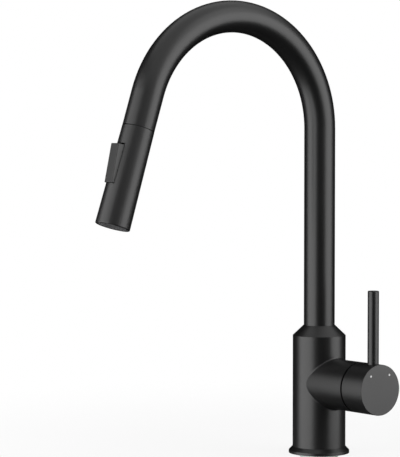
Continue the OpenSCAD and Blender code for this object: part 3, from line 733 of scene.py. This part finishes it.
    def take(self, other: "Shape") -> None:
        """Adds another shape's mesh to this one.

        Args:
            other: the other shape, which is used up.
        """
        mesh = bpy.data.meshes.new("taken")
        other.bm.to_mesh(mesh)
        other.bm.free()
        self.bm.from_mesh(mesh)
        bpy.data.meshes.remove(mesh)

    def heal(self) -> "Shape":
        """Merges what lies together and points the faces outwards.

        Returns:
            The shape itself.
        """
        bmesh.ops.remove_doubles(self.bm, verts=self.bm.verts, dist=WELD)
        bmesh.ops.recalc_face_normals(self.bm, faces=self.bm.faces)
        return self

    def piece(self, name: str, lie: Lie, body: str | None, slot: str,
              replaces: Iterable[str] = ()) -> bpy.types.Object:
        """Makes the finished piece.

        Args:
            name: the piece's name.
            lie: the axis that the shape was modelled on.
            body: the CAD body that it rides on, or None to leave it on no body.
            slot: the record's material slot.
            replaces: the CAD nodes that it stands for.

        Returns:
            The piece, at the origin, with its place in its mesh.
        """
        self.bm.transform(lie.matrix())
        for face in self.bm.faces:
            face.smooth = True
        for edge in self.bm.edges:
            edge.smooth = not (edge.is_manifold and edge.calc_face_angle() > SHARP)
        mesh = bpy.data.meshes.new(name)
        self.bm.to_mesh(mesh)
        self.bm.free()
        made = bpy.data.objects.new(name, mesh)
        bpy.context.scene.collection.objects.link(made)
        WARDROBE.dress(made, slot, lie)
        if body:
            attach(made, body)
        nodes = list(replaces)
        if nodes:
            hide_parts(*nodes)
        log.info("%s: %d faces, on %s", name, len(mesh.polygons), body or "two bodies")
        return made


def even_normals(piece: bpy.types.Object) -> bpy.types.Object:
    """Shades a softened piece by its larger faces, so that flats stay flat.

    Args:
        piece: the piece.

    Returns:
        The same piece.
    """
    weighted = piece.modifiers.new("even_normals", "WEIGHTED_NORMAL")
    weighted.keep_sharp = True
    weighted.weight = AREA_WEIGHT
    return piece


@dataclass
class SoftenedNode:
    """A piece that is the CAD node's own shape with its edges rounded."""

    node: str
    name: str
    lie: Lie
    body: str
    width: float
    segments: int
    chosen: Callable[[Vector], bool] = field(default=lambda spot: True)

    def build(self) -> bpy.types.Object:
        """Builds and dresses it.

        Returns:
            The piece.
        """
        shape = Shape().copy_of(self.node, self.lie.matrix().inverted())
        shape.soften(self.width, self.segments, self.chosen)
        return even_normals(shape.piece(self.name, self.lie, self.body, WARDROBE.slots[self.node],
                                        [self.node]))


# Sub-assemblies


@dataclass
class CoatedBody:
    """The coated pieces with rounded edges: foot ring, cone, head, rocker and handle.

    Each limit, such as ring_outside, lets only the edges beyond it be rounded. A rim is the
    rounding outside and inside.
    """

    ring_outside: float = 23.0
    ring_underside: float = 0.5
    cone_foot: float = 106.5
    cap_face: float = 82.0
    cap_middle: float = 20.0
    pivot_height: float = 66.7
    key_side: float = 5.4
    key_slope: float = 0.1
    key_flank: float = 11.0
    key_face: float = 16.5
    sleeve_neck: float = 32.2
    sleeve_mouth: float = 119.0
    neck_rim: Point = (0.3, 0.2)
    mouth_rim: Point = (0.75, 0.25)

    def build(self) -> None:
        """Builds the coated pieces."""
        for part in self.parts():
            part.build()
        self.head_sleeve()
        CreaseFillet().build()

    def on_key(self, spot: Vector) -> bool:
        """Whether a place lies on an outer edge of the rocker, which stands askew by its tilt.

        Args:
            spot: the place on the head's axes.

        Returns:
            True on the outer edges.
        """
        flank = abs(spot.x) > self.key_side and spot.y > self.key_flank
        level = spot.y + self.key_slope * (spot.z - self.pivot_height)
        return flank or level > self.key_face

    def head_sleeve(self) -> bpy.types.Object:
        """Builds the head's sleeve with a rounded rim at its neck and at its mouth.

        Returns:
            The piece.
        """
        shape = Shape().copy_of("head_shell", Lie.HEAD.matrix().inverted())
        shape.round_end(self.sleeve_mouth, 1, *self.mouth_rim)
        shape.round_end(self.sleeve_neck, -1, *self.neck_rim)
        return even_normals(shape.piece("head_sleeve", Lie.HEAD, "spray_head",
                                        WARDROBE.slots["head_shell"], ["head_shell"]))

    def parts(self) -> list[SoftenedNode]:
        """The coated pieces with the edges that each has rounded.

        Returns:
            The recipes in building order.
        """
        return [
            SoftenedNode("base_ring", "foot_ring", Lie.COLUMN, "column", 0.3, 3,
                         lambda spot: (spot.xy.length > self.ring_outside
                                       and spot.z > self.ring_underside)),
            SoftenedNode("gland_cone", "cone", Lie.COLUMN, "column", 0.2, 2,
                         lambda spot: spot.z > self.cone_foot),
            SoftenedNode("rocker_button", "rocker_key", Lie.HEAD, "rocker", 0.5, 4, self.on_key),
            SoftenedNode("handle_cap", "handle_body", Lie.BRANCH, "handle", 0.08, 2,
                         lambda spot: spot.z > self.cap_face and spot.xy.length > self.cap_middle),
            SoftenedNode("lever_rod", "lever", Lie.LEVER, "handle", 0.15, 3),
        ]


@dataclass
class CreaseFillet:
    """Cast fillet where the branch grows out of the column: a ball rolled round both cylinders."""

    column_radius: float = 24.0
    branch_radius: float = 22.5
    radius: float = 1.6
    steps: int = 180
    flats: int = 6
    root_depth: float = 1.7

    def build(self) -> bpy.types.Object:
        """Sweeps the fillet once round the branch.

        Returns:
            The piece.
        """
        sections = [self.section(FULL_TURN * i / self.steps) for i in range(self.steps)]
        shape = Shape().sweep(sections, round_trip=True)
        bmesh.ops.translate(shape.bm, verts=shape.bm.verts, vec=Lie.BRANCH.origin())
        return shape.piece("branch_fillet", Lie.COLUMN, "column", "satin_black_metal")

    def section(self, turn: float) -> list[Vector]:
        """The fillet's outline at one angle round the branch: its hollow face, then its root.

        Args:
            turn: the angle round the branch.

        Returns:
            The outline's corners.
        """
        reach = self.branch_radius + self.radius
        side, rise = reach * math.sin(turn), reach * math.cos(turn)
        out = math.sqrt((self.column_radius + self.radius) ** 2 - side * side)
        ball = Vector((out, side, rise))
        to_column = -Vector((out, side, 0.0)).normalized()
        to_branch = -Vector((0.0, side, rise)).normalized()
        face = [ball + self.radius * to_column.slerp(to_branch, i / self.flats)
                for i in range(self.flats + 1)]
        inward = (to_column + to_branch).normalized()
        return [*face, ball + self.root_depth * self.radius * inward]


@dataclass
class Thread:
    """One screw thread: crest radius, pitch and the depth of its groove."""

    crest: float
    pitch: float
    depth: float

    def wind(self, bottom: float, top: float, steps: int = 24) -> Shape:
        """Winds the thread between two heights, with so many flats a turn."""
        return Shape().thread(self.crest - self.depth, self.crest, self.pitch, bottom, top, steps)


@dataclass
class Fixing:
    """What holds the tap under the worktop: stud, nut and horseshoe."""

    stud: Thread = field(default_factory=lambda: Thread(3.0, 1.0, 0.45))
    stud_bottom: float = -69.0
    stud_top: float = 9.0
    nut_flats: float = 10.0
    nut_play: float = 0.05
    nut_bottom: float = -57.0
    nut_top: float = -45.0
    nut_outside: float = 4.0
    nut_edge: float = 0.35
    clamp_edge: float = 0.3

    def build(self) -> None:
        """Builds the threaded stud, the long nut and the two horseshoes."""
        rod = self.stud.wind(self.stud_bottom, self.stud_top)
        rod.piece("threaded_stud", Lie.STUD, "column", "steel", ["fixing_stud"])
        nut = Shape().pipe_nut(self.nut_flats, self.stud.crest + self.nut_play, self.nut_bottom,
                               self.nut_top)
        nut.soften(self.nut_edge, 2, lambda spot: spot.xy.length > self.nut_outside)
        nut.piece("long_nut", Lie.STUD, "column", "brass", ["fixing_nut"])
        for node, name in (("horseshoe_washer", "steel_horseshoe"),
                           ("horseshoe_pad", "rubber_horseshoe")):
            SoftenedNode(node, name, Lie.COLUMN, "column", self.clamp_edge, 2).build()


@dataclass
class HoseEnd:
    """A crimped ferrule and its screwed nut at one end of the spray hose.

    Mouth and back are the ferrule's ends along the axis, and the nut lies beyond the back.
    """

    name: str
    lie: Lie
    body: str
    ferrule_node: str
    nut_node: str
    mouth: float
    back: float
    radius: float
    flats: float
    screw: Thread
    bore: float = 6.25
    stub: float = 2.9
    crimps: tuple[float, ...] = (0.24, 0.46, 0.68)
    crimp_depth: float = 0.35
    crimp_share: float = 0.065
    end_wall: float = 1.9
    nut_gap: float = 0.4
    hexagon: float = 8.5
    screw_length: float = 10.0
    nut_wall: float = 1.3
    nut_outside: float = 4.9
    nut_turn: float = 30.0
    nut_edge: float = 0.5
    ferrule_edge: float = 0.12
    ferrule_steps: int = 72
    screw_steps: int = 36

    @property
    def way(self) -> int:
        """1 where the nut lies further along the axis than the ferrule, else -1."""
        return 1 if self.back > self.mouth else -1

    def build(self) -> None:
        """Builds the ferrule and the nut."""
        self.ferrule()
        self.nut()

    def ferrule(self) -> bpy.types.Object:
        """Builds the sleeve with its three crimped grooves.

        Returns:
            The piece.
        """
        length = self.back - self.mouth
        dip, half = self.radius - self.crimp_depth, length * self.crimp_share
        wall = self.back - self.end_wall * self.way
        profile = [(self.bore, self.mouth), (self.radius, self.mouth)]
        for share in self.crimps:
            middle = self.mouth + length * share
            profile += [(self.radius, middle - half), (dip, middle - half / 2),
                        (dip, middle + half / 2), (self.radius, middle + half)]
        profile += [(self.radius, self.back), (self.stub, self.back), (self.stub, wall),
                    (self.bore, wall)]
        shape = Shape().lathe(profile, self.ferrule_steps).soften(self.ferrule_edge, 2)
        return shape.piece(f"{self.name}_ferrule", self.lie, self.body, "steel",
                           [self.ferrule_node])

    def nut(self) -> bpy.types.Object:
        """Builds the hexagon and the thread that stands out of it.

        Returns:
            The piece.
        """
        start = self.back + self.nut_gap * self.way
        end = start + self.hexagon * self.way
        tip = self.back + (self.hexagon + self.screw_length) * self.way
        shape = Shape().pipe_nut(self.flats, self.stub + self.nut_wall, *sorted((start, end)),
                                 self.nut_turn)
        shape.soften(self.nut_edge, 2, lambda spot: spot.xy.length > self.nut_outside)
        shape.take(self.screw.wind(*sorted((end, tip)), self.screw_steps))
        return shape.piece(f"{self.name}_nut", self.lie, self.body, "brass", [self.nut_node])


@dataclass
class SprayHose:
    """The braided hose from the column's foot to the head.

    Its last stretch, from the seam on, is drawn out of the spout. It is a piece of its own on no
    body, and the map of its zone is laid out for the stretch by the travel.
    """

    radius: float = 6.2
    lower_end: float = -81.8
    upper_end: float = 10.5
    seam: float = -10.0
    zone_start: float = -9.2
    zone_end: float = 0.4
    travel: float = 200.0
    sides: int = 40
    rings_on_riser: int = 12
    rings_on_bend: int = 64
    rings_in_zone: int = 110
    halvings: int = 40

    def build(self) -> None:
        """Sweeps the two stretches, maps them and leaves the last one on no body, its place baked
        into its mesh.
        """
        held = self.held_path()
        length = sum((b - a).length for (a, _), (b, _) in zip(held, held[1:]))
        self.tube("braided_hose", held, 0.0, "spout")
        drawn = self.tube("drawn_hose", self.drawn_path(), length, None)
        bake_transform(drawn)

    def tube(self, name: str, path: Sequence[tuple[Vector, float]], length: float,
             body: str | None) -> bpy.types.Object:
        """Sweeps one stretch with its map of turn and length.

        Args:
            name: the piece's name.
            path: stations as (middle, lean about X).
            length: the hose's length before the first station.
            body: the body that it rides on, or None to leave it on no body.

        Returns:
            The piece.
        """
        turns = [FULL_TURN * i / self.sides for i in range(self.sides)]
        circle = [self.radius * Vector((math.cos(turn), math.sin(turn), 0.0)) for turn in turns]
        shape = Shape()
        chart = shape.bm.loops.layers.uv.new(HOSE_MAP)
        shape.sweep([[middle + Matrix.Rotation(lean, 3, "X") @ spot for spot in circle]
                     for middle, lean in path])
        lengths = []
        for i, (middle, _) in enumerate(path):
            length += (middle - path[i - 1][0]).length if i else 0.0
            lengths.append(length + self.drawn(middle))
        row_layer = shape.bm.verts.layers.int["row"]
        corner_layer = shape.bm.verts.layers.int["corner"]
        for face in shape.bm.faces:
            across = [loop.vert[corner_layer] / self.sides for loop in face.loops]
            seam = max(across) - min(across) > 0.5
            for loop, turn in zip(face.loops, across):
                along = lengths[loop.vert[row_layer]] * MM
                loop[chart].uv = (turn + 1.0 if seam and turn < 0.5 else turn, along)
        return shape.piece(name, Lie.COLUMN, body, "hose_braid", ["spray_hose"])

    def held_path(self) -> list[tuple[Vector, float]]:
        """Stations of the stretch that stays in the spout, as (middle, lean about X).

        Returns:
            The stations, from the foot on.
        """
        rise = (RISER_TOP - self.lower_end) / self.rings_on_riser
        path = [(Vector((0, 0, self.lower_end + rise * i)), 0.0)
                for i in range(self.rings_on_riser)]
        last = BEND_ANGLE + self.seam / BEND_RADIUS
        for i in range(self.rings_on_bend + 1):
            path.append(self.station(last * i / self.rings_on_bend))
        return path

    def drawn_path(self) -> list[tuple[Vector, float]]:
        """Stations of the stretch that is drawn out, as (middle, lean about X).

        Returns:
            The stations, from the seam on.
        """
        path = [self.station(BEND_ANGLE + self.seam / BEND_RADIUS)]
        for i in range(self.rings_in_zone + 1):
            place = self.zone_place(i / self.rings_in_zone)
            if place < 0:
                path.append(self.station(BEND_ANGLE + place / BEND_RADIUS))
            else:
                path.append((BEND_END + DOWN_HEAD * place, BEND_ANGLE))
        path.append((BEND_END + DOWN_HEAD * self.upper_end, BEND_ANGLE))
        return path

    def drawn(self, middle: Vector) -> float:
        """How far a station of the last stretch has moved when the head is drawn out.

        Args:
            middle: the station's place at rest.

        Returns:
            Millimetres.
        """
        if middle.y > -BEND_RADIUS:
            return 0.0
        share = ((middle - BEND_END).dot(DOWN_HEAD) - self.zone_start) / (
            self.zone_end - self.zone_start)
        share = min(1.0, max(0.0, share))
        return self.travel * share * share * (3 - 2 * share)

    def zone_place(self, share: float) -> float:
        """Where a ring of the stretching zone lies at rest, for even rings when drawn out.

        Args:
            share: the ring's share of the zone.

        Returns:
            Millimetres along the head's axis.
        """
        length = self.zone_end - self.zone_start
        low, high = 0.0, 1.0
        wanted = share * (length + self.travel)
        for _ in range(self.halvings):
            middle = (low + high) / 2
            reached = middle * length + self.travel * middle * middle * (3 - 2 * middle)
            low, high = (middle, high) if reached < wanted else (low, middle)
        return self.zone_start + length * (low + high) / 2

    @staticmethod
    def station(lean: float) -> tuple[Vector, float]:
        """The bend's middle line at an angle from the riser, with that angle."""
        return Vector((0.0, -BEND_RADIUS * (1 - math.cos(lean)),
                       RISER_TOP + BEND_RADIUS * math.sin(lean))), lean


@dataclass
class SprayFace:
    """The head's underside: the mat with its soft nozzle tips, and the aerator.

    The tip's flare and the corners of its dome are each (across, down from the top).
    """

    plate_end: float = 118.3
    mat_back: float = 114.1
    mat_front: float = 115.7
    mat_radius: float = 13.35
    mat_bore: float = 6.6
    outer_ring: float = 11.55
    inner_ring: float = 9.03
    outer_count: int = 18
    inner_count: int = 12
    tip_radius: float = 0.8
    tip_bore: float = 0.4
    tip_root: float = 115.0
    tip_height: float = 0.4
    tip_flare: Point = (0.1, 0.12)
    tip_dome: tuple[Point, ...] = ((0.18, 0.0), (0.04, 0.12), (0.0, 0.3))
    tip_steps: int = 14
    aerator_front: float = 117.9
    aerator_edge: float = 0.12

    def build(self) -> None:
        """Builds the mat with its nozzle tips and softens the aerator."""
        self.mat()
        SoftenedNode("aerator", "aerator_insert", Lie.HEAD, "spray_head", self.aerator_edge, 2,
                     lambda spot: spot.z > self.aerator_front).build()

    def mat(self) -> bpy.types.Object:
        """Builds the silicone mat: a ring behind the plate and one domed tip at each nozzle.

        Returns:
            The piece.
        """
        shape = Shape().lathe([(self.mat_bore, self.mat_back), (self.mat_radius, self.mat_back),
                               (self.mat_radius, self.mat_front), (self.mat_bore, self.mat_front)])
        top, rim, bore = self.plate_end + self.tip_height, self.tip_radius, self.tip_bore
        wider, deep = self.tip_flare
        profile = [(bore, self.tip_root), (bore, top - deep), (bore + wider, top),
                   *((rim - inward, top - down) for inward, down in self.tip_dome),
                   (rim, self.tip_root)]
        for radius, count in ((self.outer_ring, self.outer_count),
                              (self.inner_ring, self.inner_count)):
            for i in range(count):
                tip = Shape().lathe(profile, self.tip_steps)
                angle = FULL_TURN * i / count
                bmesh.ops.translate(tip.bm, verts=tip.bm.verts,
                                    vec=(radius * math.cos(angle), radius * math.sin(angle), 0))
                shape.take(tip)
        return shape.piece("nozzle_tips", Lie.HEAD, "spray_head", "grey_silicone", ["nozzle_mat"])


# Studio


@dataclass
class Lamp:
    """One soft box: an angle from the camera's side, a height, a size and a brightness."""

    name: str
    angle: float
    height: float
    width: float
    length: float
    brightness: float
    distance: float = 1.25
    aim: Point = (0.0, -0.09)

    def build(self, camera_azimuth: float) -> bpy.types.Object:
        """Hangs the lamp so that it looks at the tap.

        Args:
            camera_azimuth: direction of the camera round the tap, in degrees from +X.

        Returns:
            The lamp.
        """
        light = bpy.data.lights.new(self.name, "AREA")
        light.shape = "RECTANGLE"
        light.size, light.size_y = self.width, self.length
        light.energy = self.brightness * math.pi * self.width * self.length
        lamp = bpy.data.objects.new(self.name, light)
        azimuth = math.radians(camera_azimuth + self.angle)
        out = Vector((math.cos(azimuth), math.sin(azimuth), 0.0))
        lamp.location = Vector((*self.aim, self.height)) + out * self.distance
        lamp.rotation_euler = out.to_track_quat("Z", "Y").to_euler()
        lamp.visible_camera = False
        bpy.context.scene.collection.objects.link(lamp)
        return lamp


@dataclass
class Tent:
    """Dark cloth round the set that only reflections meet, so that the coat keeps its dark bands.

    The rim is a list of (angle from the camera's side, height of the cloth), both in degrees.
    """

    radius: float = 2.6
    segments: int = 72
    rings: int = 45
    shades: Point = (0.002, 0.004)
    weave: float = 40.0
    roughness: float = 0.9
    rim: tuple[Point, ...] = ((-180, 52), (-130, 53), (-34, 50), (-24, 38), (-10, 32), (0, 28),
                              (16, 20), (40, 18), (60, 30), (100, 32), (125, 40), (150, 47),
                              (180, 52))

    def build(self, camera_azimuth: float) -> bpy.types.Object:
        """Cuts the tent from a sphere, open above.

        Args:
            camera_azimuth: direction of the camera round the tap, in degrees from +X.

        Returns:
            The tent.
        """
        bm = bmesh.new()
        bmesh.ops.create_uvsphere(bm, u_segments=self.segments, v_segments=self.rings,
                                  radius=self.radius)
        above = []
        for face in bm.faces:
            spot = face.calc_center_median()
            angle = math.degrees(math.atan2(spot.y, spot.x)) - camera_azimuth
            height = math.degrees(math.asin(spot.z / spot.length))
            if height > self.height((angle + 180) % 360 - 180):
                above.append(face)
        bmesh.ops.delete(bm, geom=above, context="FACES")
        mesh = bpy.data.meshes.new("tent")
        bm.to_mesh(mesh)
        bm.free()
        cloth = bpy.data.objects.new("tent", mesh)
        bpy.context.scene.collection.objects.link(cloth)
        graph = Graph.named("dark_cloth")
        dark, light = ((shade,) * 3 for shade in self.shades)
        mesh.materials.append(graph.finish(
            Base_Color=graph.blend(graph.noise(graph.place(), self.weave), dark, light),
            Roughness=self.roughness, Specular_IOR_Level=0.0))
        cloth.visible_camera = False
        cloth.visible_diffuse = False
        cloth.visible_transmission = False
        cloth.visible_shadow = False
        return cloth

    def height(self, angle: float) -> float:
        """The rim's height in degrees at an angle from the camera's side.

        Args:
            angle: the angle, from -180 to 180.

        Returns:
            The height.
        """
        for (low, first), (high, second) in zip(self.rim, self.rim[1:]):
            if low <= angle <= high:
                return first + (second - first) * (angle - low) / (high - low)
        return self.rim[0][1]


@dataclass
class Studio:
    """Camera, soft boxes, dark tent, pale worktop and white surround."""

    spot: tuple[float, float, float] = (1.47457, -1.24759, 0.29063)
    yaw: float = 52.98
    pitch: float = 2.58
    focal_pixels: float = 2130.58
    long_side: float = 457.0
    sensor: float = 36.0
    view_end: float = 50.0
    ambient: float = 0.2
    hole_radius: float = 0.0175
    floor_radius: float = 0.75
    floor_steps: int = 96
    floor_shade: float = 0.93
    floor_roughness: float = 0.8
    cover: float = 0.12
    fade: Point = (0.08, 0.6)

    def build(self) -> None:
        """Sets up the whole studio."""
        azimuth = math.degrees(math.atan2(self.spot[1], self.spot[0]))
        self.camera()
        for lamp in self.lamps():
            lamp.build(azimuth)
        Tent().build(azimuth)
        self.surround()
        self.worktop()
        bpy.context.scene.view_settings.view_transform = "Standard"

    def camera(self) -> bpy.types.Object:
        """Puts the camera at the photograph's viewing angle.

        Returns:
            The camera.
        """
        data = bpy.data.cameras.new("camera")
        data.sensor_width = self.sensor
        data.lens = self.focal_pixels * self.sensor / self.long_side
        data.clip_end = self.view_end
        camera = bpy.data.objects.new("camera", data)
        camera.location = self.spot
        camera.rotation_euler = (math.radians(90 - self.pitch), 0.0, math.radians(self.yaw))
        bpy.context.scene.collection.objects.link(camera)
        bpy.context.scene.camera = camera
        return camera

    @staticmethod
    def lamps() -> list[Lamp]:
        """The soft boxes: a wide one on the left, a tall one on the right and one above that.

        Returns:
            The boxes.
        """
        return [
            Lamp("left_box", angle=-62.0, height=0.12, width=1.84, length=1.8, brightness=3.1),
            Lamp("right_box", angle=74.5, height=0.35, width=1.3, length=1.1, brightness=3.2),
            Lamp("high_box", angle=72.0, height=1.55, width=1.3, length=1.3, brightness=1.1),
        ]

    def surround(self) -> None:
        """Makes the world white to the camera and in gloss and glass, and plain to the rest."""
        graph = Graph(bpy.data.worlds.new("surround"))
        camera = graph.add("ShaderNodeLightPath", output="Is Camera Ray")
        seen = camera.larger(camera.beside("Is Glossy Ray")).larger(
            camera.beside("Is Transmission Ray"))
        plain, white = (graph.add("ShaderNodeBackground", {},
                                  {"Color": (1.0, 1.0, 1.0, 1.0), "Strength": strength})
                        for strength in (self.ambient, 1.0))
        bpy.context.scene.world = graph.shaded(
            graph.add("ShaderNodeMixShader", {}, {0: seen, 1: plain, 2: white}))

    def worktop(self) -> bpy.types.Object:
        """Lays a pale worktop with the tap's hole, clear from below and fading out at its edge.

        Returns:
            The worktop.
        """
        bm = bmesh.new()
        for radius in (self.hole_radius, self.floor_radius):
            bmesh.ops.create_circle(bm, segments=self.floor_steps, radius=radius)
        bmesh.ops.bridge_loops(bm, edges=bm.edges)
        down = [face for face in bm.faces if face.normal.z < 0]
        bmesh.ops.reverse_faces(bm, faces=down)
        mesh = bpy.data.meshes.new("worktop")
        bm.to_mesh(mesh)
        bm.free()
        top = bpy.data.objects.new("worktop", mesh)
        bpy.context.scene.collection.objects.link(top)
        graph = Graph.named("pale_worktop")
        reach = graph.add("ShaderNodeVectorMath", {"operation": "LENGTH"}, {0: graph.place()},
                          output="Value")
        edge = graph.add("ShaderNodeMapRange", {"interpolation_type": "SMOOTHSTEP"},
                         {"Value": reach, "From Min": self.fade[0], "From Max": self.fade[1],
                          "To Min": 1.0 - self.cover, "To Max": 1.0})
        clear = edge.larger(graph.add("ShaderNodeNewGeometry", output="Backfacing"))
        paint = graph.add("ShaderNodeBsdfPrincipled", {},
                          {"Base Color": (*(self.floor_shade,) * 3, 1.0),
                           "Roughness": self.floor_roughness})
        glass = graph.add("ShaderNodeBsdfTransparent")
        mesh.materials.append(graph.shaded(
            graph.add("ShaderNodeMixShader", {}, {0: clear, 1: paint, 2: glass})))
        return top


def hose_ends() -> list[HoseEnd]:
    """The crimped ends of the spray hose: in the head and below the worktop.

    Returns:
        The two ends.
    """
    return [
        HoseEnd("head_hose", Lie.HEAD, "spray_head", "hose_ferrule", "hose_nut", mouth=0.7,
                back=12.7, radius=7.35, flats=17.0, screw=Thread(6.9, 1.2, 0.5)),
        HoseEnd("tail_hose", Lie.COLUMN, "column", "hose_tail_ferrule", "hose_tail_nut",
                mouth=-72.0, back=-84.0, radius=6.9, flats=12.0, screw=Thread(5.9, 1.2, 0.5)),
    ]


def main() -> None:
    """Builds the sub-assemblies in order, then the studio."""
    WARDROBE.dress_frame()
    CoatedBody().build()
    Fixing().build()
    for end in hose_ends():
        end.build()
    SprayHose().build()
    SprayFace().build()
    Studio().build()


if __name__ == "__main__":
    logging.basicConfig(level=logging.INFO, format="%(message)s")
    main()
